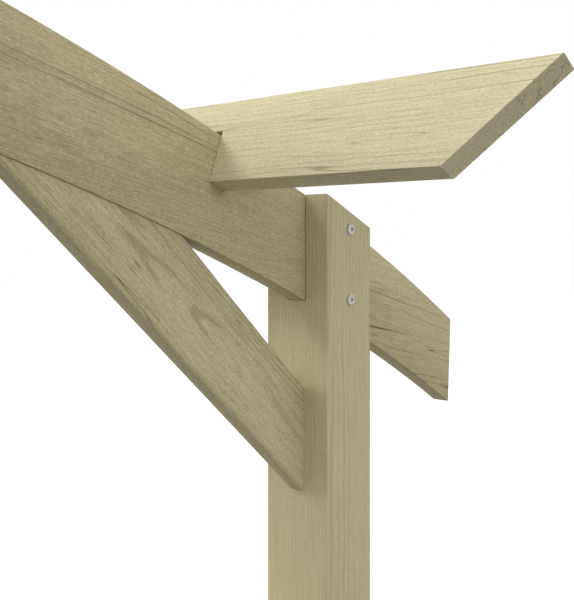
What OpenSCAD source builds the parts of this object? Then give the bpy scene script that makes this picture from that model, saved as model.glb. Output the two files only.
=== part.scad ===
// Garden pergola in planed softwood: two square posts, a curved arch that stands in slots in
// the post tops, a knee brace at each post, and short purlins that ride over the arch.
// The arch is two halves, each sawn from a straight board and halved together at the crown.
// X runs along the arch, Y runs along the purlins, Z is up. Sizes are millimetres.
// The origin is on the ground, in the middle of the left post's foot.

/* [Overall] */
// Clear width between the two posts
clear_width = 2100; // [1600:10:2700]
// Height of a post at its inner face
post_height = 1960; // [1600:10:2500]

/* [Posts] */
// Width of a square post
post_w = 70; // [58:1:100]
// Clearance between the arch and each cheek of the slot in a post
slot_play = 0.4; // [0.2:0.1:0.9]
// Gap left where a cut edge follows a curved one
seat_gap = 0.2; // [0.1:0.1:0.5]

/* [Arch] */
// Radius of the arch's underside
arch_radius = 2680; // [2100:10:4000]
// Depth of the arch from its underside to its top
arch_depth = 88.5; // [70:0.5:120]
// Thickness of the arch
arch_t = 20; // [14:1:28]
// How far the arch runs out past the outer face of a post
tail_reach = 214; // [100:1:300]
// Lean of the cut at the ends of the arch, in degrees from plumb
tail_cut = 3.8; // [0:0.1:15]
// Length of the halved joint at the crown
lap_length = 120; // [60:5:200]

/* [Purlins] */
// Number of purlins
purlin_count = 7; // [2:1:11]
// Length of a purlin along its top edge
purlin_length = 564; // [300:2:800]
// Height of a purlin
purlin_h = 70; // [55:1:90]
// Thickness of a purlin
purlin_t = 20; // [14:1:28]
// How far a purlin reaches down over the arch
purlin_bite = 40; // [20:1:45]
// Clearance between the arch and each side of the slot in a purlin
purlin_play = 0.5; // [0.2:0.1:0.9]
// Distance from a post's inner face in to the middle of the nearest purlin
purlin_inset = 98; // [60:1:200]
// Lean of the cut at the ends of a purlin, in degrees from plumb
purlin_cut = 45; // [0:1:60]

/* [Braces] */
// Width of a brace across its grain
brace_w = 70; // [50:1:90]
// Thickness of a brace
brace_t = 17; // [12:1:24]
// Slope of a brace, in degrees from level
brace_slope = 43; // [38:1:55]
// Drop from a post's inner top to the upper edge of the brace
brace_drop = 174; // [150:1:350]

/* [Screws] */
// Diameter of a screw's shank
screw_d = 5; // [4:0.5:8]
// Wood left in the post past the tip of a screw
tip_cover = 10; // [5:1:16]
// Diameter of a pan head
head_d = 10; // [8:0.5:14]
// Height of a pan head
head_h = 2.6; // [2:0.1:4]
// Drop from the top of the arch to the upper screw in its post
screw_drop = 16.5; // [12:0.5:30]
// Rise from the underside of the arch to the lower screw in its post
screw_rise = 15; // [12:0.5:30]
// Clearance round a shank
screw_play = 0.1; // [0.05:0.05:0.3]
// Width of a slot in the cross recess
drive_w = 1.3; // [1:0.1:2]
// Length of a slot in the cross recess
drive_span = 5.4; // [4:0.1:7]
// Depth of the cross recess
drive_depth = 1.4; // [1:0.1:2]

/* [Hidden] */
ENDS = [["left", -1], ["right", 1]];
LEVELS = [["upper", 0], ["lower", 1]];

arc_fn = 720;
round_fn = 64;

// Distances in X are measured from the crown, and the whole is then moved out from it
post_in = clear_width / 2;
post_mid = post_in + post_w / 2;
post_out = post_in + post_w;
tip_x = post_out + tail_reach;
arch_top = arch_radius + arch_depth;
screw_l = post_w - tip_cover;

// Height of the point that the arch is struck from: its top passes the post's inner top
arch_centre = post_height - sqrt(pow(arch_top, 2) - pow(post_in, 2));

// Height of a circle of radius r about the arch's centre, at the distance x from the crown
function curve_z(r, x) = arch_centre + sqrt(pow(r, 2) - pow(x, 2));

// Distance from the crown, at the height z, of the cut at the arch's end
function tail_x(z) = tip_x + (z - curve_z(arch_top, tip_x)) * tan(tail_cut);

// Angle of purlin i from the crown, with the outermost ones set in from the posts
purlin_spread = asin((post_in - purlin_inset) / arch_top);
function purlin_angle(i) = purlin_spread * (2 * (i - 1) / (purlin_count - 1) - 1);

// Height of the upper (0) or the lower (1) screw in a post
function screw_z(level) = level == 0
    ? curve_z(arch_top, post_mid) - screw_drop
    : curve_z(arch_radius, post_mid) + screw_rise;

TIMBER = "#b5ad87";
TIMBER_LIT = "#c8bf99";
TIMBER_SHADE = "#a09873";
ZINC = "#a9a8a0";

// Moves what is drawn about the crown so that the left post's foot is at the origin
module set_out() {
    translate([post_mid, 0, 0])
        children();
}

// A plate on edge, its outline drawn in X and Z, centred on the plane of the arch
module plate(t) {
    rotate([90, 0, 0])
        linear_extrude(height = t, center = true)
            children();
}

// Disc about the point that the arch is struck from
module disc(r) {
    translate([0, arch_centre])
        circle(r = r, $fn = arc_fn);
}

// Hole for a screw: in at the front face of the post, and stopped where the screw stops
module screw_hole(end, level) {
    translate([end * post_mid, -post_w / 2 - 1, screw_z(level)])
        rotate([-90, 0, 0])
            cylinder(h = screw_l + seat_gap + 1, d = screw_d + 2 * screw_play, $fn = round_fn);
}

// Square post, its top cut to the slope of the arch, with an open slot that holds the arch
module post(end) {
    color(TIMBER)
        set_out()
            difference() {
                plate(post_w)
                    polygon([
                        [end * post_in, 0],
                        [end * post_out, 0],
                        [end * post_out, curve_z(arch_top, post_out)],
                        [end * post_in, post_height]
                    ]);
                plate(arch_t + 2 * slot_play)
                    difference() {
                        translate([end * post_mid, post_height])
                            square(2 * post_w + 2 * arch_depth, center = true);
                        disc(arch_radius - seat_gap);
                    }
                for (level = LEVELS)
                    screw_hole(end, level[1]);
            }
}

// Half of the arch, from its tail through a post to the lap at the crown
module arch(end) {
    low = curve_z(arch_radius, tip_x) - arch_depth;
    high = arch_centre + arch_top + arch_depth;
    color(TIMBER_SHADE)
        set_out()
            difference() {
                plate(arch_t)
                    intersection() {
                        difference() {
                            disc(arch_top);
                            disc(arch_radius);
                        }
                        polygon([
                            [-end * lap_length / 2, low],
                            [end * tail_x(low), low],
                            [end * tail_x(high), high],
                            [-end * lap_length / 2, high]
                        ]);
                    }
                translate([0, end * arch_t / 2, arch_centre + arch_top])
                    cube([lap_length + 2 * seat_gap, arch_t, 4 * arch_depth], center = true);
                for (level = LEVELS)
                    screw_hole(end, level[1]);
            }
}

// Knee brace from a post's inner face up to the underside of the arch
module brace(end) {
    rise = tan(brace_slope);
    upper = post_height - brace_drop;
    lower = upper - brace_w / cos(brace_slope);
    color(TIMBER)
        set_out()
            plate(brace_t)
                intersection() {
                    disc(arch_radius - seat_gap);
                    polygon([
                        [end * post_in, lower],
                        [end * post_in, upper],
                        [0, upper + rise * post_in],
                        [0, lower + rise * post_in]
                    ]);
                }
}

// Purlin on edge, square to the curve, slotted from below over the arch
module purlin(i) {
    low = arch_top - purlin_bite;
    half = purlin_length / 2;
    short = half - purlin_h * tan(purlin_cut);
    color(TIMBER_LIT)
        set_out()
            translate([0, 0, arch_centre])
                rotate([0, purlin_angle(i), 0])
                    difference() {
                        rotate([90, 0, 90])
                            linear_extrude(height = purlin_t, center = true)
                                polygon([
                                    [-short, low],
                                    [short, low],
                                    [half, low + purlin_h],
                                    [-half, low + purlin_h]
                                ]);
                        translate([0, 0, arch_top + seat_gap - purlin_h / 2])
                            cube([2 * purlin_t, arch_t + 2 * purlin_play, purlin_h], center = true);
                    }
}

// Pan head screw, driven in from the front face of the post
module screw(end, level) {
    color(ZINC)
        set_out()
            translate([end * post_mid, -post_w / 2, screw_z(level)])
                rotate([-90, 0, 0])
                    difference() {
                        union() {
                            cylinder(h = screw_l, d = screw_d, $fn = round_fn);
                            mirror([0, 0, 1])
                                pan_head();
                        }
                        for (turn = [0, 90])
                            rotate([0, 0, turn])
                                translate([-drive_span / 2, -drive_w / 2, -head_h - 1])
                                    cube([drive_span, drive_w, drive_depth + 1]);
                    }
}

// Low domed head on a short straight rim
module pan_head() {
    rim = head_h / 2;
    dome = (pow(head_d / 2, 2) + pow(head_h - rim, 2)) / (2 * (head_h - rim));
    intersection() {
        cylinder(h = head_h, d = head_d, $fn = round_fn);
        translate([0, 0, head_h - dome])
            sphere(r = dome, $fn = 2 * round_fn);
    }
}

for (end = ENDS)
    post(end[1]);
for (end = ENDS)
    arch(end[1]);
for (end = ENDS)
    brace(end[1]);
for (i = [1 : purlin_count])
    purlin(i);
for (end = ENDS, level = LEVELS)
    screw(end[1], level[1]);
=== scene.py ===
# %% [markdown]
# # A garden pergola in planed softwood
#
# This lesson dresses a timber pergola: two square posts, a curved arch that stands in slots in
# the post tops, a knee brace at each post, and a row of short purlins notched over the arch.
# The construction already exists as a fixed frame of plain solids. Here every stick is modelled
# again as a joiner would make it, from a bar with its edges eased that is then sawn and slotted,
# and it is given solid wood grain that runs the way its board was cut.
#
# The frame is loaded first. It also gives the places of the pieces, so nothing is fitted by eye.

# %% Load the frame
import math

import bpy
from mathutils import Matrix, Vector


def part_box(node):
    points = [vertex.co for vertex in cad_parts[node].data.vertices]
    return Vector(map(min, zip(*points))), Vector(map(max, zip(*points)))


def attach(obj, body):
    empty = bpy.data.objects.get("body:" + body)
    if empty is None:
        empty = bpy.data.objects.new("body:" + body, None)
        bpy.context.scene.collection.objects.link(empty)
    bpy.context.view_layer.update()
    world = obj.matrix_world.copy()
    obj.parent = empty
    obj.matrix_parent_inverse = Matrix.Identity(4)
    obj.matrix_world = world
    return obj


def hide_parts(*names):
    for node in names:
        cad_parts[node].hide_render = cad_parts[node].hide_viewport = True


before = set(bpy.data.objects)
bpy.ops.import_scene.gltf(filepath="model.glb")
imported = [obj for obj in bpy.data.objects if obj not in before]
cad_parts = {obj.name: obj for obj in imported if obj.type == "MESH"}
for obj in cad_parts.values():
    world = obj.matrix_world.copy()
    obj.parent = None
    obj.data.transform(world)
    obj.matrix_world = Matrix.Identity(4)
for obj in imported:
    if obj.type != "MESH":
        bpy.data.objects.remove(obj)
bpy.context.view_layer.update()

# %% [markdown]
# ## Sizes
#
# All sizes are metres. Most come from the boxes of the solids. The few that a box can't tell,
# such as the radius of the arch, are written down once, as the joiner's drawing would have them.
# This cell holds what the posts and the arch share. Each stick's own sizes come with the stick.

# %% Sizes taken from the frame and from the drawing
MM = 0.001
ENDS = {"left": -1, "right": 1}

post_low, post_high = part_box("post_right")
POST_W = post_high.x - post_low.x
POST_TOP = post_high.z
CROWN_X = (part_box("post_left")[0].x + post_high.x) / 2
POST_IN = post_low.x - CROWN_X
POST_OUT = post_high.x - CROWN_X

arch_low, arch_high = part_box("arch_right")
ARCH_T = arch_high.y - arch_low.y
ARCH_R = 2680 * MM
ARCH_W = 88.5 * MM
ARCH_TOP_R = ARCH_R + ARCH_W
ARCH_Z = arch_high.z - ARCH_TOP_R
ARCH_CENTRE = Vector((CROWN_X, 0, ARCH_Z))


def curve_z(radius, x):
    """Height of a circle about the arch's centre, at the distance x from the crown."""
    return ARCH_Z + math.sqrt(radius * radius - x * x)


print("post", round(POST_W, 4), "arch struck from", [round(v, 4) for v in ARCH_CENTRE])

# %% [markdown]
# ## The camera
#
# The eye stands in front of the arch, in from the right-hand post, and just below the arch. It
# looks level past that post, so upright edges stay upright. The small lens shift does what a view
# camera's rising front does: it slides the picture without tipping the verticals.

# %% Camera
EYE_IN_FROM_POST = 546.5 * MM
EYE_OUT_FROM_POST = 404.4 * MM
EYE_BELOW_POST_TOP = 43.75 * MM
HEADING = math.radians(53.815)
SENSOR_MM = 36
LENS_MM = 45.98
SHIFT_X = -0.074
SHIFT_Y = -0.0955

bpy.ops.object.camera_add(
    location=(
        post_low.x - EYE_IN_FROM_POST,
        post_low.y - EYE_OUT_FROM_POST,
        POST_TOP - EYE_BELOW_POST_TOP,
    ),
    rotation=(math.radians(90), 0, -HEADING),
)
camera = bpy.context.object
camera.name = "camera"
camera.data.sensor_width = SENSOR_MM
camera.data.lens = LENS_MM
camera.data.shift_x = SHIFT_X
camera.data.shift_y = SHIFT_Y
bpy.context.scene.camera = camera
print("camera at", [round(v, 3) for v in camera.location])

# %% [markdown]
# ## Colours and nodes
#
# Colours are written the way paint charts on screen give them, as sRGB hex. Blender mixes light
# in linear values, so one function turns them. A second small function adds a node to a material
# and fills or links its inputs, which keeps each material's recipe short enough to read.

# %% Colour and node helpers
def linear(code):
    """The linear RGBA colour of an sRGB hex code."""
    channels = [int(code[i : i + 2], 16) / 255 for i in (1, 3, 5)]
    return [c / 12.92 if c <= 0.04045 else ((c + 0.055) / 1.055) ** 2.4 for c in channels] + [1]


def add_node(tree, kind, inputs, **settings):
    """Add a node with its settings, then fill its inputs with values or link them to sockets."""
    node = tree.nodes.new(kind)
    for name, value in settings.items():
        setattr(node, name, value)
    for name, value in inputs.items():
        if isinstance(value, bpy.types.NodeSocket):
            tree.links.new(value, node.inputs[name])
        else:
            node.inputs[name].default_value = value
    return node


def new_material(name):
    """A material with its tree and its main shader."""
    material = bpy.data.materials.new(name)
    material.use_nodes = True
    return material, material.node_tree, material.node_tree.nodes["Principled BSDF"]


print("mid grey is", round(linear("#808080")[0], 3), "in linear light")

# %% [markdown]
# ## The timber
#
# The wood is pine or spruce, planed smooth and pressure treated, which leaves it a matt, faintly
# greenish beige. Planing gives the eye three things: growth rings cut through as soft bands, fine
# fibre lines that run with the board, and a scatter of short dark pores and resin dashes.
#
# The grain is a solid pattern, not a picture laid on the faces. Each board carries an attribute
# with its own coordinates: along the grain, and across it from the pith of the tree. Rings are
# then circles round the pith, so a face shows long bands and a sawn end shows arcs, and the lines
# run round an edge as they do in real wood. Every layer starts as noise that is drawn out along
# the board, with patches of a real size in millimetres.

# %% Noise along the grain
def grain_noise(tree, grain, across_mm, along_mm, detail=2.0, roughness=0.5):
    """Noise drawn out along the grain, with patches of about the sizes given."""
    stretched = add_node(
        tree,
        "ShaderNodeVectorMath",
        {0: grain, 1: (1000 / along_mm, 1000 / across_mm, 1000 / across_mm)},
        operation="MULTIPLY",
    ).outputs[0]
    return add_node(
        tree,
        "ShaderNodeTexNoise",
        {"Vector": stretched, "Scale": 1.0, "Detail": detail, "Roughness": roughness},
    )


print("noise sized in millimetres, along and across the board")

# %% [markdown]
# ### How a layer darkens the wood
#
# Rings, fibres and marks all darken the wood under them, as a stain does, and none of them paints
# over it. So one step serves them all: a soft ramp turns a pattern into an amount, and the tone is
# multiplied into the surface by that amount. A second pattern can hold the layer back in places.

# %% Darkening
def darken(tree, surface, tone, pattern, bare, full, depth, hold=1.0):
    """Darken a surface with a tone: not where the pattern is `bare`, and by `depth` where `full`.

    `hold`, a number or another pattern, scales the layer down or up.
    """
    amount = add_node(
        tree,
        "ShaderNodeMapRange",
        {"Value": pattern, "From Min": bare, "From Max": full, "To Min": 0.0, "To Max": depth},
        interpolation_type="SMOOTHSTEP",
    ).outputs[0]
    held = add_node(tree, "ShaderNodeMath", {0: amount, 1: hold}, operation="MULTIPLY").outputs[0]
    return add_node(
        tree,
        "ShaderNodeMix",
        {0: held, 6: surface, 7: linear(tone)},
        data_type="RGBA",
        blend_type="MULTIPLY",
    ).outputs[2]


print("layers darken, and never paint over")

# %% [markdown]
# ### Growth rings
#
# Each year leaves a pale band and a darker, denser one. The rings are circles about the pith, so
# the distance from it, turned into a wave, draws them. No trunk is perfectly round, so a slow sway
# pushes the circles about a little, and some years come out strong and others faint.

# %% Growth rings
SWAY_MM = 45
SWAY_RUN_MM = 260
SWAY_BY_MM = 14
YEAR_MM = 11
YEAR_RUN_MM = 700
RING_TONE = "#a2986a"


def sway(tree, grain):
    """The board's coordinates, pushed about across the grain."""
    push = grain_noise(tree, grain, SWAY_MM, SWAY_RUN_MM).outputs["Color"]
    return add_node(
        tree,
        "ShaderNodeVectorMath",
        {0: push, 1: (0, SWAY_BY_MM * MM, SWAY_BY_MM * MM), 2: grain},
        operation="MULTIPLY_ADD",
    ).outputs[0]


def growth_rings(tree, surface, swayed, ring_mm, depth):
    """Dark bands of late wood, ring_mm apart, in circles about the pith."""
    flat = add_node(
        tree, "ShaderNodeVectorMath", {0: swayed, 1: (0, 1, 1)}, operation="MULTIPLY"
    ).outputs[0]
    radius = add_node(tree, "ShaderNodeVectorMath", {0: flat}, operation="LENGTH").outputs["Value"]
    turns = add_node(
        tree, "ShaderNodeMath", {0: radius, 1: 2 * math.pi / (ring_mm * MM)}, operation="MULTIPLY"
    ).outputs[0]
    wave = add_node(tree, "ShaderNodeMath", {0: turns}, operation="SINE").outputs[0]
    year = grain_noise(tree, swayed, YEAR_MM, YEAR_RUN_MM).outputs["Fac"]
    strength = add_node(
        tree,
        "ShaderNodeMapRange",
        {"Value": year, "From Min": 0.36, "From Max": 0.62, "To Min": 0.15, "To Max": 1.3},
        interpolation_type="SMOOTHSTEP",
    ).outputs[0]
    return darken(tree, surface, RING_TONE, wave, 0.25, 1.0, depth, hold=strength)


print("rings sway by up to", SWAY_BY_MM, "mm")

# %% [markdown]
# ### Fibres and pores
#
# Planed softwood is covered in fine fibre lines, with a speckle of cut pores between them. A real
# fibre is a few hundredths of a millimetre wide and would vanish at this distance, so fibres and
# pores are both drawn coarser, as wide as they need to be to show.

# %% Fibres and pores
FIBRE_MM = 0.9
FIBRE_RUN_MM = 34
FIBRE_TONE = "#88845f"
PORE_MM = 0.9
PORE_RUN_MM = 2.7
PORE_TONE = "#96916c"
PORE_SHARE = 0.8


def fibres_and_pores(tree, surface, grain, depth):
    """Fibre lines and a speckle of pores. Returns the surface, and the fibres for the relief."""
    fibre = grain_noise(tree, grain, FIBRE_MM, FIBRE_RUN_MM, 4.0, 0.65).outputs["Fac"]
    pore = grain_noise(tree, grain, PORE_MM, PORE_RUN_MM, 1.0).outputs["Fac"]
    surface = darken(tree, surface, FIBRE_TONE, fibre, 0.72, 0.28, depth)
    surface = darken(tree, surface, PORE_TONE, pore, 0.65, 0.35, PORE_SHARE * depth)
    return surface, fibre


print("fibres drawn", FIBRE_MM, "mm wide")

# %% [markdown]
# ### Dark marks
#
# Three kinds of dark mark lie over the rings: long thin lines that come and go, now and then a
# single ring much darker than its neighbours, and short dashes where a resin duct was cut
# lengthways. The thin lines are the level lines of a slow noise, like contours on a map, because
# such a line stays thin along its whole length, where a patch of noise would swell and fade.

# %% Dark marks
LINE_MM = 13
LINE_RUN_MM = 420
LINE_WIDTH = 0.012
LINE_TONE = "#6f6345"
DARK_RING_MM = 0.7
DARK_RING_DEPTH = 0.45
DASH_MM = 1.7
DASH_RUN_MM = 15
DASH_FADE = 0.1
DASH_TONE = "#64583c"


def off_by(tree, value, target):
    """How far a value lies from a target, on either side."""
    beside = add_node(
        tree, "ShaderNodeMath", {0: value, 1: target}, operation="SUBTRACT"
    ).outputs[0]
    return add_node(tree, "ShaderNodeMath", {0: beside}, operation="ABSOLUTE").outputs[0]


def thin_lines(tree, surface, grain, bloom, depth):
    """Long thin dark lines, only where the slow change of tint lets them through."""
    slow = grain_noise(tree, grain, LINE_MM, LINE_RUN_MM, 1.0, 0.4).outputs["Fac"]
    some = add_node(
        tree,
        "ShaderNodeMapRange",
        {"Value": bloom, "From Min": 0.42, "From Max": 0.58},
        interpolation_type="SMOOTHSTEP",
    ).outputs[0]
    off = off_by(tree, slow, 0.5)
    return darken(tree, surface, LINE_TONE, off, LINE_WIDTH, 0.0, depth, hold=some)


def single_rings(tree, surface, swayed, distances):
    """Single dark rings, at their distances across the board from the pith."""
    across = add_node(tree, "ShaderNodeSeparateXYZ", {0: swayed}).outputs["Y"]
    for distance in distances:
        off = off_by(tree, across, distance)
        surface = darken(tree, surface, LINE_TONE, off, DARK_RING_MM * MM, 0.0, DARK_RING_DEPTH)
    return surface


def dashes(tree, surface, grain, depth, share):
    """Short dark dashes. The larger the share, the more of them."""
    dash = grain_noise(tree, grain, DASH_MM, DASH_RUN_MM, 0.5).outputs["Fac"]
    return darken(tree, surface, DASH_TONE, dash, 1 - share, 1 - share + DASH_FADE, depth)


print("lines", LINE_RUN_MM, "mm long, dashes", DASH_RUN_MM, "mm long")

# %% [markdown]
# ### The timber put together
#
# The layers lie on two ground tints that change slowly into each other, where the wood took up
# more or less of the preservative. The same fibres also give a faint relief, which breaks up the
# soft sheen of a planed face. A dry, unvarnished board is rough and hardly shines.

# %% Timber material
BLOOM_MM = 60
BLOOM_RUN_MM = 330
RELIEF_MM = 0.25


def timber(
    name,
    warm,
    cool,
    ring_mm,
    ring_depth,
    fibre_depth,
    line_depth,
    dash_depth,
    dash_share,
    dark_at=(),
):
    """Planed softwood: two ground tints, then rings, fibres and dark marks."""
    material, tree, shader = new_material(name)
    grain = add_node(tree, "ShaderNodeAttribute", {}, attribute_name="grain").outputs["Vector"]
    bloom = grain_noise(tree, grain, BLOOM_MM, BLOOM_RUN_MM).outputs["Fac"]
    share_of_cool = add_node(
        tree,
        "ShaderNodeMapRange",
        {"Value": bloom, "From Min": 0.35, "From Max": 0.65},
        interpolation_type="SMOOTHSTEP",
    ).outputs[0]
    surface = add_node(
        tree,
        "ShaderNodeMix",
        {0: share_of_cool, 6: linear(warm), 7: linear(cool)},
        data_type="RGBA",
    ).outputs[2]

    swayed = sway(tree, grain)
    surface = growth_rings(tree, surface, swayed, ring_mm, ring_depth)
    surface, fibre = fibres_and_pores(tree, surface, grain, fibre_depth)
    surface = thin_lines(tree, surface, grain, bloom, line_depth)
    surface = single_rings(tree, surface, swayed, dark_at)
    surface = dashes(tree, surface, grain, dash_depth, dash_share)
    relief = add_node(
        tree, "ShaderNodeBump", {"Height": fibre, "Strength": 0.35, "Distance": RELIEF_MM * MM}
    ).outputs[0]

    tree.links.new(surface, shader.inputs["Base Color"])
    tree.links.new(relief, shader.inputs["Normal"])
    shader.inputs["Roughness"].default_value = 0.68
    shader.inputs["IOR"].default_value = 1.45
    shader.inputs["Specular IOR Level"].default_value = 0.3
    return material


print("tints change over", BLOOM_RUN_MM, "mm along a board")

# %% [markdown]
# ### Four timbers
#
# The posts, arch, braces and purlins were sawn from different boards, so each kind has its own
# tints, ring spacing and strength of marks. The purlins are the palest. The arch has the finest
# rings and two dark ones close together, which run its length as a long double line.

# %% The four timbers
post_wood = timber(
    "planed_softwood_post",
    warm="#c9c096",
    cool="#c3b990",
    ring_mm=3.4,
    ring_depth=0.18,
    fibre_depth=0.20,
    line_depth=0.15,
    dash_depth=0.12,
    dash_share=0.27,
)
arch_wood = timber(
    "planed_softwood_arch",
    warm="#cbc196",
    cool="#c5bb91",
    ring_mm=2.2,
    ring_depth=0.17,
    fibre_depth=0.34,
    line_depth=0.85,
    dash_depth=0.25,
    dash_share=0.28,
    dark_at=(205.2 * MM, 209.5 * MM),
)
brace_wood = timber(
    "planed_softwood_brace",
    warm="#cfc59d",
    cool="#c6bd93",
    ring_mm=2.8,
    ring_depth=0.26,
    fibre_depth=0.33,
    line_depth=0.75,
    dash_depth=0.50,
    dash_share=0.29,
)
purlin_wood = timber(
    "planed_softwood_purlin",
    warm="#ded5af",
    cool="#d8d0aa",
    ring_mm=3.0,
    ring_depth=0.15,
    fibre_depth=0.26,
    line_depth=0.50,
    dash_depth=0.34,
    dash_share=0.29,
)
print("timbers:", post_wood.name, arch_wood.name, brace_wood.name, purlin_wood.name)

# %% [markdown]
# ## The screws' finish
#
# The screws are mild steel with a zinc plating, which gives a pale, slightly blue, satin metal.
# Plating grows in small crystals, so tint and gloss both vary from patch to patch. One noise
# drives the two of them, and the duller patches are then also the darker ones.

# %% Zinc material
MOTTLE_MM = 1.2

zinc, tree, shader = new_material("zinc_plated_steel")
place_on_screw = add_node(tree, "ShaderNodeTexCoord", {}).outputs["Object"]
mottle = add_node(
    tree,
    "ShaderNodeTexNoise",
    {"Vector": place_on_screw, "Scale": 1000 / MOTTLE_MM, "Detail": 2.0},
).outputs["Fac"]
dullness = add_node(
    tree,
    "ShaderNodeMapRange",
    {"Value": mottle, "From Min": 0.3, "From Max": 0.7},
    interpolation_type="SMOOTHSTEP",
).outputs[0]
plating = add_node(
    tree,
    "ShaderNodeMix",
    {0: dullness, 6: linear("#bdbcb7"), 7: linear("#a5a5a1")},
    data_type="RGBA",
).outputs[2]
gloss = add_node(
    tree, "ShaderNodeMapRange", {"Value": dullness, "To Min": 0.34, "To Max": 0.46}
).outputs[0]
tree.links.new(plating, shader.inputs["Base Color"])
tree.links.new(gloss, shader.inputs["Roughness"])
shader.inputs["Metallic"].default_value = 0.9
print("finish:", zinc.name)

# %% [markdown]
# ## The joiner's moves
#
# Every stick starts as a planed bar, so the helpers follow the bench: plane a bar and ease its
# long edges, saw an end, cut a housing with a second shape, and ease what the saw left sharp.
# Blender's tools work on what is selected, so before each one the rest is deselected, and edges
# are picked by their place.

# %% Picking and placing
def pick(piece):
    """Make one piece the only selected one and the active one."""
    bpy.ops.object.select_all(action="DESELECT")
    piece.select_set(True)
    bpy.context.view_layer.objects.active = piece


def pick_edges(piece, wanted):
    """Select the edges for which wanted(start, end) holds, and stay in edit mode."""
    pick(piece)
    bpy.ops.object.mode_set(mode="EDIT")
    bpy.ops.mesh.select_mode(type="EDGE")
    bpy.ops.mesh.select_all(action="DESELECT")
    bpy.ops.object.mode_set(mode="OBJECT")
    points = piece.data.vertices
    for edge in piece.data.edges:
        start, end = (points[i].co for i in edge.vertices)
        edge.select = wanted(start, end)
    bpy.ops.object.mode_set(mode="EDIT")


def place(piece, location, turn=0.0):
    """Turn a piece about Y and move it, and put its place into its mesh."""
    pick(piece)
    piece.location = location
    piece.rotation_euler = (0, turn, 0)
    bpy.ops.object.transform_apply(location=True, rotation=True, scale=True)


print("pieces are picked one at a time")

# %% [markdown]
# ### Bars
#
# A straight bar is a cube at the board's size with its long edges bevelled, as the planer leaves
# them. A curved one is a flat cross-section spun about the arch's centre, which gives a true
# circle, where bending a straight bar would squeeze one edge and stretch the other.

# %% Bars, straight and curved
def bar(name, low, high, along, ease=0.0, segments=2):
    """A straight bar between two corners, its long edges eased. `along` is its axis: 0, 1 or 2."""
    low, high = Vector(low), Vector(high)
    bpy.ops.mesh.primitive_cube_add(size=1, location=(low + high) / 2, scale=high - low)
    piece = bpy.context.object
    piece.name = name
    bpy.ops.object.transform_apply(location=True, rotation=True, scale=True)
    if ease:
        half = (high - low)[along] / 2
        pick_edges(piece, lambda start, end: abs(start[along] - end[along]) > half)
        bpy.ops.mesh.bevel(offset=ease, segments=segments)
        bpy.ops.object.mode_set(mode="OBJECT")
    return piece


def curved_bar(name, inner, outer, thickness, first, last, ease=0.0, steps=96):
    """A bar bent about the arch's centre, between two angles from the crown, in radians."""
    bpy.ops.mesh.primitive_plane_add(
        size=1, location=(0, 0, (inner + outer) / 2), rotation=(0, math.pi / 2, 0)
    )
    piece = bpy.context.object
    piece.name = name
    piece.scale = (outer - inner, thickness, 1)
    bpy.ops.object.transform_apply(location=True, rotation=True, scale=True)
    place(piece, (0, 0, 0), first)
    bpy.ops.object.mode_set(mode="EDIT")
    bpy.ops.mesh.select_all(action="SELECT")
    if ease:
        bpy.ops.mesh.bevel(offset=ease, segments=2, affect="VERTICES")
        bpy.ops.mesh.select_all(action="SELECT")
    # the operator turns the other way round its axis
    bpy.ops.mesh.spin(steps=steps, angle=first - last, center=(0, 0, 0), axis=(0, 1, 0))
    bpy.ops.mesh.select_all(action="SELECT")
    bpy.ops.mesh.remove_doubles(threshold=0.001 * MM)
    bpy.ops.mesh.normals_make_consistent(inside=False)
    bpy.ops.object.mode_set(mode="OBJECT")
    place(piece, ARCH_CENTRE)
    return piece


print("curved bars turn about", [round(v, 3) for v in ARCH_CENTRE])

# %% [markdown]
# ### Saw, housing and edge
#
# A saw cut is a Bisect that drops one side and fills the cut. A slot or a notch is a Boolean with
# a second piece as the cutter, since a joiner too marks one board out from another. Both leave
# edges sharper than real ones, so a narrow Bevel on the sharp angles takes them off at the end.

# %% Saw, housing and edge
RUB = 0.35 * MM
SHARP = math.radians(50)
SLIVER = 0.0001 * MM


def saw(piece, point, outward):
    """Saw a piece along a plane, drop the side that `outward` points to, and close the cut."""
    pick(piece)
    bpy.ops.object.mode_set(mode="EDIT")
    bpy.ops.mesh.select_all(action="SELECT")
    bpy.ops.mesh.bisect(
        plane_co=point, plane_no=outward, use_fill=True, clear_outer=True, threshold=0.001 * MM
    )
    bpy.ops.object.mode_set(mode="OBJECT")


def cut_out(piece, cutter):
    """Take the cutter's shape out of a piece, and put the cutter away."""
    pick(piece)
    housing = piece.modifiers.new("housing", "BOOLEAN")
    housing.operation = "DIFFERENCE"
    housing.solver = "EXACT"
    housing.object = cutter
    bpy.ops.object.modifier_apply(modifier=housing.name)
    bpy.data.objects.remove(cutter)


def ease_sawn_edges(piece):
    """Take the sharpness off edges that the saw left, as a rub with sandpaper does."""
    pick(piece)
    rub = piece.modifiers.new("rub", "BEVEL")
    rub.width = RUB
    rub.segments = 1
    rub.limit_method = "ANGLE"
    rub.angle_limit = SHARP
    bpy.ops.object.modifier_apply(modifier=rub.name)
    # a Boolean can leave slivers that have no area
    bpy.ops.object.mode_set(mode="EDIT")
    bpy.ops.mesh.select_all(action="SELECT")
    bpy.ops.mesh.dissolve_degenerate(threshold=SLIVER)
    bpy.ops.object.mode_set(mode="OBJECT")


print("sawn edges are rubbed off by", round(RUB / MM, 2), "mm")

# %% [markdown]
# ### The board's own coordinates, and the finish
#
# The grain has to follow each stick wherever it is put, so each vertex keeps its place in the
# board that the stick was cut from. An attribute does this without unwrapping anything, and no
# seam can show. Then the piece is shaded, given its finish, and set in its node's place.

# %% Finish a board
SMOOTH_BELOW = math.radians(32)


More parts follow.
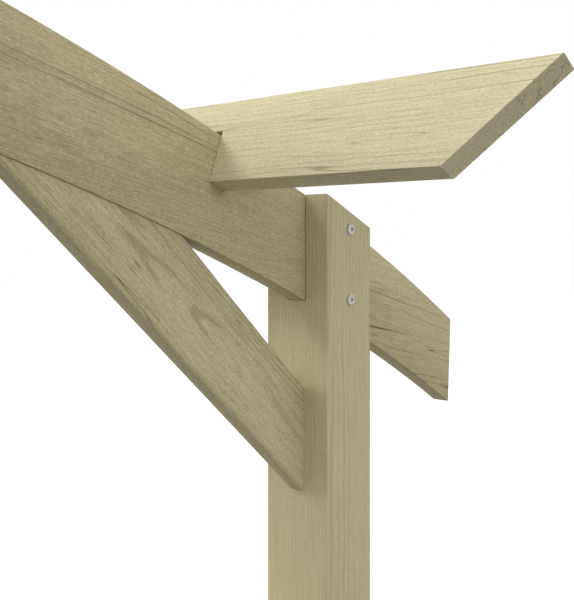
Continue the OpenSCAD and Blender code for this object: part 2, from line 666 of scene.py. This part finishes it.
def board(piece, along, across, start, pith):
    """Write the board's own coordinates: along the grain, and across it from the pith.

    `start` is a point on the board, and `pith` says where the tree's centre lay from it: how far
    along to begin in the pattern, then how far off across the board and through it.
    """
    along = Vector(along).normalized()
    across = Vector(across)
    across = (across - along * across.dot(along)).normalized()
    to_board = Matrix((along, across, along.cross(across)))
    start, pith = Vector(start), Vector(pith)
    grain = piece.data.attributes.new("grain", "FLOAT_VECTOR", "POINT")
    for vertex, entry in zip(piece.data.vertices, grain.data):
        entry.vector = to_board @ (vertex.co - start) + pith


def finish_piece(piece, node, material):
    """Shade a piece, give it its finish, and let it stand for its node in the frame."""
    pick(piece)
    bpy.ops.object.shade_smooth_by_angle(angle=SMOOTH_BELOW)
    piece.data.materials.clear()
    piece.data.materials.append(material)
    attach(piece, "root")
    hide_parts(node)


print("pieces shade smooth below", round(math.degrees(SMOOTH_BELOW)), "degrees")

# %% [markdown]
# ## The posts
#
# Each post is a 70 mm square stick, planed on four sides with its edges just taken off. Its top is
# sawn to the slope of the arch, and an open slot is cut down the middle for the arch, with its
# floor cut to the arch's curve. A Boolean is the honest tool here: a joiner also takes the shape
# of one board out of the other. The grain runs up the post, and the pith lay off to one side.

# %% Posts
POST_EASE = 1.3 * MM
POST_SPARE = 10 * MM
SLOT_PLAY = 0.4 * MM
SEAT_GAP = 0.2 * MM
SLOT_RISE = 40 * MM
SLOT_REACH = 60 * MM

top_run = Vector((POST_W, 0, curve_z(ARCH_TOP_R, POST_OUT) - POST_TOP)).normalized()
for end, side in ENDS.items():
    inner, outer = CROWN_X + side * POST_IN, CROWN_X + side * POST_OUT
    post = bar(
        f"post_{end}_timber",
        (min(inner, outer), -POST_W / 2, 0),
        (max(inner, outer), POST_W / 2, POST_TOP + POST_SPARE),
        along=2,
        ease=POST_EASE,
        segments=3,
    )
    saw(post, (inner, 0, POST_TOP), (-side * top_run.z, 0, top_run.x))
    angles = [
        side * math.asin((POST_IN - SLOT_REACH) / ARCH_R),
        side * math.asin((POST_OUT + SLOT_REACH) / ARCH_R),
    ]
    slot = curved_bar(
        "slot",
        ARCH_R - SEAT_GAP,
        ARCH_TOP_R + SLOT_RISE,
        ARCH_T + 2 * SLOT_PLAY,
        *angles,
        steps=24,
    )
    cut_out(post, slot)
    ease_sawn_edges(post)
    middle = (CROWN_X + side * (POST_IN + POST_OUT) / 2, 0, 0)
    pith = (0.3 + side, 45 * MM, 110 * MM)
    board(post, (0, 0, 1), (1, 0, 0), middle, pith)
    finish_piece(post, f"post_{end}", post_wood)
    print(post.name, len(post.data.polygons), "faces")

# %% [markdown]
# ## The arch
#
# The arch is two halves. Each was bandsawn from a straight board, so its edges curve while the
# grain runs straight, and the lines meet the curved edges at a slant. A flat section with eased
# corners is spun about the centre that the arch is struck from, then the tail and the crown end
# are sawn. The two halves overlap at the crown, where each gives up half of its thickness.

# %% Arch halves
TIP = arch_high.x - CROWN_X
HALF_LAP = CROWN_X - arch_low.x
TAIL_CUT = math.radians(3.8)
ARCH_EASE = 0.8 * MM
SPARE = 8 * MM
HALVING_CLEAR = 100 * MM
GRAIN_TILT = 0.0217

for end, side in ENDS.items():
    arch = curved_bar(
        f"arch_{end}_timber",
        ARCH_R,
        ARCH_TOP_R,
        ARCH_T,
        -side * math.asin((HALF_LAP + SPARE) / ARCH_R),
        side * math.asin((TIP + SPARE) / ARCH_R),
        ARCH_EASE,
    )
    tip_point = Vector((CROWN_X + side * TIP, 0, curve_z(ARCH_TOP_R, TIP)))
    saw(arch, tip_point, (side * math.cos(TAIL_CUT), 0, -math.sin(TAIL_CUT)))
    saw(arch, (CROWN_X - side * HALF_LAP, 0, 0), (-side, 0, 0))
    halving = bar(
        "halving",
        (CROWN_X - HALF_LAP - SEAT_GAP, min(0, side * ARCH_T), ARCH_Z + ARCH_R - HALVING_CLEAR),
        (CROWN_X + HALF_LAP + SEAT_GAP, max(0, side * ARCH_T), ARCH_Z + ARCH_TOP_R + HALVING_CLEAR),
        along=0,
    )
    cut_out(arch, halving)
    ease_sawn_edges(arch)
    crown_point = Vector((CROWN_X, 0, ARCH_Z + ARCH_TOP_R))
    chord = (tip_point - crown_point) * side
    square_to = Vector((-chord.z, 0, chord.x))
    # no board is sawn dead true to its tree, so the grain drifts a little across it
    run = chord + GRAIN_TILT * square_to
    pith = (0.7 * side, 160 * MM, 30 * MM * side)
    board(arch, run, square_to, crown_point, pith)
    finish_piece(arch, f"arch_{end}", arch_wood)
    print(arch.name, len(arch.data.polygons), "faces")

# %% [markdown]
# ## The knee braces
#
# A brace is a thinner board than the arch, with edges rounded by a router rather than just eased.
# It runs from the inner face of the post up to the underside of the arch. Its foot is sawn
# upright to meet the post, and its head is scribed to the curve, which leaves a long thin toe.

# %% Braces
brace_low, brace_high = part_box("brace_right")
BRACE_T = brace_high.y - brace_low.y
BRACE_W = 70 * MM
BRACE_SLOPE = math.radians(43)
BRACE_EASE = 3.5 * MM
BRACE_RUN = 500 * MM
BRACE_SPARE = 80 * MM
SCRIBE_RISE = 300 * MM
SCRIBE_FROM, SCRIBE_TO = math.asin(0.15), math.asin(0.45)
PITH_SLANT = 0.02

brace_mid = Vector((0, 0, brace_low.z + BRACE_W / (2 * math.cos(BRACE_SLOPE))))
for end, side in ENDS.items():
    ends_x = sorted((-side * BRACE_RUN, side * BRACE_SPARE))
    brace = bar(
        f"brace_{end}_timber",
        (ends_x[0], -BRACE_T / 2, -BRACE_W / 2),
        (ends_x[1], BRACE_T / 2, BRACE_W / 2),
        along=0,
        ease=BRACE_EASE,
        segments=4,
    )
    foot_point = brace_mid + Vector((CROWN_X + side * POST_IN, 0, 0))
    place(brace, foot_point, side * BRACE_SLOPE)
    saw(brace, foot_point, (side, 0, 0))
    scribe = curved_bar(
        "scribe",
        ARCH_R - SEAT_GAP,
        ARCH_R + SCRIBE_RISE,
        4 * BRACE_T,
        side * SCRIBE_FROM,
        side * SCRIBE_TO,
    )
    cut_out(brace, scribe)
    # a board sawn at a slight slant to the pith shows its rings as long pointed arcs
    run = (math.cos(BRACE_SLOPE), PITH_SLANT, -side * math.sin(BRACE_SLOPE))
    square_to = (side * math.sin(BRACE_SLOPE), 0, math.cos(BRACE_SLOPE))
    pith = (2.1 + 0.6 * side, -6 * MM, -40 * MM * side)
    board(brace, run, square_to, foot_point, pith)
    finish_piece(brace, f"brace_{end}", brace_wood)
    print(brace.name, len(brace.data.polygons), "faces")

# %% [markdown]
# ## The purlins
#
# The purlins stand on edge, square to the curve. Both ends are cut back at 45 degrees, and a
# notch from below lets each drop over the arch. Its floor is cut back a little towards both ends,
# so that it bears on the middle of the arch, and a small dark gap shows in the corner. All purlins
# are alike, so one is made as a pattern, upright above the arch's centre, and the rest are copies.

# %% The pattern purlin
crown_low, crown_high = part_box("purlin_4")
PURLIN_T = crown_high.x - crown_low.x
PURLIN_H = crown_high.z - crown_low.z
PURLIN_HALF = crown_high.y
PURLIN_LOW_R = crown_low.z - ARCH_Z
PURLIN_CUT = math.radians(45)
NOTCH_PLAY = 0.5 * MM
PURLIN_EASE = 0.8 * MM
KERF_W = 8.0 * MM
KERF_DEPTH = 3.8 * MM

crown_purlin = bar(
    "purlin_pattern",
    (-PURLIN_T / 2, -PURLIN_HALF, PURLIN_LOW_R),
    (PURLIN_T / 2, PURLIN_HALF, PURLIN_LOW_R + PURLIN_H),
    along=1,
    ease=PURLIN_EASE,
)
for way in (-1, 1):
    corner = (0, way * PURLIN_HALF, PURLIN_LOW_R + PURLIN_H)
    saw(crown_purlin, corner, (0, way * math.cos(PURLIN_CUT), -math.sin(PURLIN_CUT)))
notch_y = ARCH_T / 2 + NOTCH_PLAY
floor_r = ARCH_TOP_R + SEAT_GAP
kerfs = [(-notch_y, -notch_y + KERF_W), (notch_y - KERF_W, notch_y)]
cuts = [(-notch_y, notch_y, floor_r)] + [(low, high, floor_r + KERF_DEPTH) for low, high in kerfs]
for low, high, top in cuts:
    cutter = bar("notch", (-PURLIN_T, low, PURLIN_LOW_R - PURLIN_T), (PURLIN_T, high, top), along=1)
    cut_out(crown_purlin, cutter)
ease_sawn_edges(crown_purlin)
print("pattern purlin", len(crown_purlin.data.polygons), "faces")

# %% [markdown]
# ### The row of purlins
#
# The copies turn about the arch's centre, which sets each one square to the curve. Each has its
# own mesh, so that its grain can start at another place in the pattern and no two look the same.

# %% Copies along the arch
END_PURLIN_IN = 98 * MM
PURLINS = sorted(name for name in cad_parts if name.startswith("purlin"))


def copy_of(pattern, name):
    """A copy of a piece, with its own mesh."""
    piece = pattern.copy()
    piece.data = pattern.data.copy()
    piece.name = name
    bpy.context.collection.objects.link(piece)
    return piece


spread = math.asin((POST_IN - END_PURLIN_IN) / ARCH_TOP_R)
for number, node in enumerate(PURLINS):
    turn = spread * (2 * number / (len(PURLINS) - 1) - 1)
    purlin = copy_of(crown_purlin, f"{node}_timber")
    pith = (1.7 * number, 50 * MM, 90 * MM)
    board(purlin, (0, 1, 0), (0, 0, 1), (0, 0, PURLIN_LOW_R), pith)
    place(purlin, ARCH_CENTRE, turn)
    finish_piece(purlin, node, purlin_wood)
bpy.data.objects.remove(crown_purlin)
print(len(PURLINS), "purlins along the arch")

# %% [markdown]
# ## The screws
#
# Two pan head screws hold the arch in each post. A head is a short cylinder with its front edge
# rolled over, and the shank is drawn out of its back: inset the back face, then extrude it. The
# cross recess is two small bars taken out of the front. The thread is hidden in the wood, so it
# isn't drawn. The pattern screw lies along Y with the back of its head at the origin.

# %% The pattern screw
screw_low, screw_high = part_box("screw_right_upper")
HEAD_R = (screw_high.x - screw_low.x) / 2
HEAD_H = post_low.y - screw_low.y
SHANK_L = screw_high.y - post_low.y
SHANK_D = 5 * MM
ROLL = 1.25 * MM
RECESS_W = 1.3 * MM
RECESS_SPAN = 5.4 * MM
RECESS_DEPTH = 1.4 * MM
PROUD = 1 * MM
NEAR = 0.1 * MM

bpy.ops.mesh.primitive_cylinder_add(
    vertices=64,
    radius=HEAD_R,
    depth=HEAD_H,
    location=(0, -HEAD_H / 2, 0),
    rotation=(math.pi / 2, 0, 0),
)
pattern_screw = bpy.context.object
pattern_screw.name = "screw_pattern"
bpy.ops.object.transform_apply(location=True, rotation=True, scale=True)
pick_edges(pattern_screw, lambda start, end: max(start.y, end.y) < NEAR - HEAD_H)
bpy.ops.mesh.bevel(offset=ROLL, segments=5)
bpy.ops.object.mode_set(mode="OBJECT")
pick_edges(pattern_screw, lambda start, end: min(start.y, end.y) > -NEAR)
bpy.ops.mesh.select_mode(type="FACE")
bpy.ops.mesh.inset(thickness=HEAD_R - SHANK_D / 2)
bpy.ops.mesh.extrude_region_move(TRANSFORM_OT_translate={"value": (0, SHANK_L, 0)})
bpy.ops.object.mode_set(mode="OBJECT")
for half_x, half_z in ((RECESS_SPAN / 2, RECESS_W / 2), (RECESS_W / 2, RECESS_SPAN / 2)):
    recess = bar(
        "recess",
        (-half_x, -HEAD_H - PROUD, -half_z),
        (half_x, RECESS_DEPTH - HEAD_H, half_z),
        along=1,
    )
    cut_out(pattern_screw, recess)
print("pattern screw", len(pattern_screw.data.polygons), "faces")

# %% [markdown]
# ### The screws in their places
#
# The box of each screw's node tells where its axis runs. The copies are moved there with the back
# of the head against the post's front face.

# %% Copies in the posts
screws = sorted(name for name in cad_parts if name.startswith("screw"))
for node in screws:
    low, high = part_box(node)
    screw = copy_of(pattern_screw, f"{node}_zinc")
    place(screw, ((low.x + high.x) / 2, post_low.y, (low.z + high.z) / 2))
    finish_piece(screw, node, zinc)
bpy.data.objects.remove(pattern_screw)
print(len(screws), "screws in the posts")

# %% [markdown]
# ## The light
#
# The light is a plain daylight studio: an even white surround, a gentle sun from high behind the
# left that lights the faces towards the crown, and a weak wide fill from the front. Sun lamps
# serve for both, because their light is even over the whole height of the pergola.

# %% Sun and surround
SUN_FROM = Vector((-0.65, 0.37, 0.66))
SUN_STRENGTH = 1.1
SUN_ANGLE = 0.25
FILL_FROM = Vector((-0.3, -0.85, 0.43))
FILL_STRENGTH = 0.4
FILL_ANGLE = 1.0
SKY_STRENGTH = 1.0
LAMP_HEIGHT = 4.0

lamps = (
    ("sun", SUN_FROM, SUN_STRENGTH, SUN_ANGLE),
    ("front_fill", FILL_FROM, FILL_STRENGTH, FILL_ANGLE),
)
for name, direction, strength, angle in lamps:
    bpy.ops.object.light_add(type="SUN", location=(CROWN_X, 0, LAMP_HEIGHT))
    lamp = bpy.context.object
    lamp.name = name
    lamp.rotation_euler = direction.to_track_quat("Z", "Y").to_euler()
    lamp.data.energy = strength
    lamp.data.angle = angle

scene = bpy.context.scene
scene.view_settings.view_transform = "Standard"
world = bpy.data.worlds.new("white_surround")
world.use_nodes = True
sky = world.node_tree.nodes["Background"]
sky.inputs["Color"].default_value = (1, 1, 1, 1)
sky.inputs["Strength"].default_value = SKY_STRENGTH
scene.world = world
print("sun from", [round(v, 2) for v in SUN_FROM.normalized()])

# %% [markdown]
# ## The floor
#
# The floor is white to the eye but darker to bounced light, as a lawn would be, which keeps the
# undersides of the boards from glowing. The Light Path node tells the two apart. The floor is a
# plain matt plane otherwise, and it takes the pergola's shadow.

# %% Floor
FLOOR_SEEN = "#f8f8f8"
FLOOR_BOUNCE = "#818181"
FLOOR_SIZE = 60.0
FLOOR_DROP = 0.5 * MM

bpy.ops.mesh.primitive_plane_add(size=FLOOR_SIZE, location=(CROWN_X, 0, -FLOOR_DROP))
floor = bpy.context.object
floor.name = "floor"
white_floor, tree, shader = new_material("white_floor")
path = add_node(tree, "ShaderNodeLightPath", {}).outputs
seen = add_node(
    tree,
    "ShaderNodeMath",
    {0: path["Is Camera Ray"], 1: path["Is Glossy Ray"]},
    operation="MAXIMUM",
).outputs[0]
seen = add_node(
    tree, "ShaderNodeMath", {0: seen, 1: path["Is Transmission Ray"]}, operation="MAXIMUM"
).outputs[0]
paint = add_node(
    tree,
    "ShaderNodeMix",
    {0: seen, 6: linear(FLOOR_BOUNCE), 7: linear(FLOOR_SEEN)},
    data_type="RGBA",
).outputs[2]
tree.links.new(paint, shader.inputs["Base Color"])
shader.inputs["Roughness"].default_value = 0.9
shader.inputs["Specular IOR Level"].default_value = 0.0
floor.data.materials.append(white_floor)
print("floor", FLOOR_SEEN, "seen,", FLOOR_BOUNCE, "in bounced light")
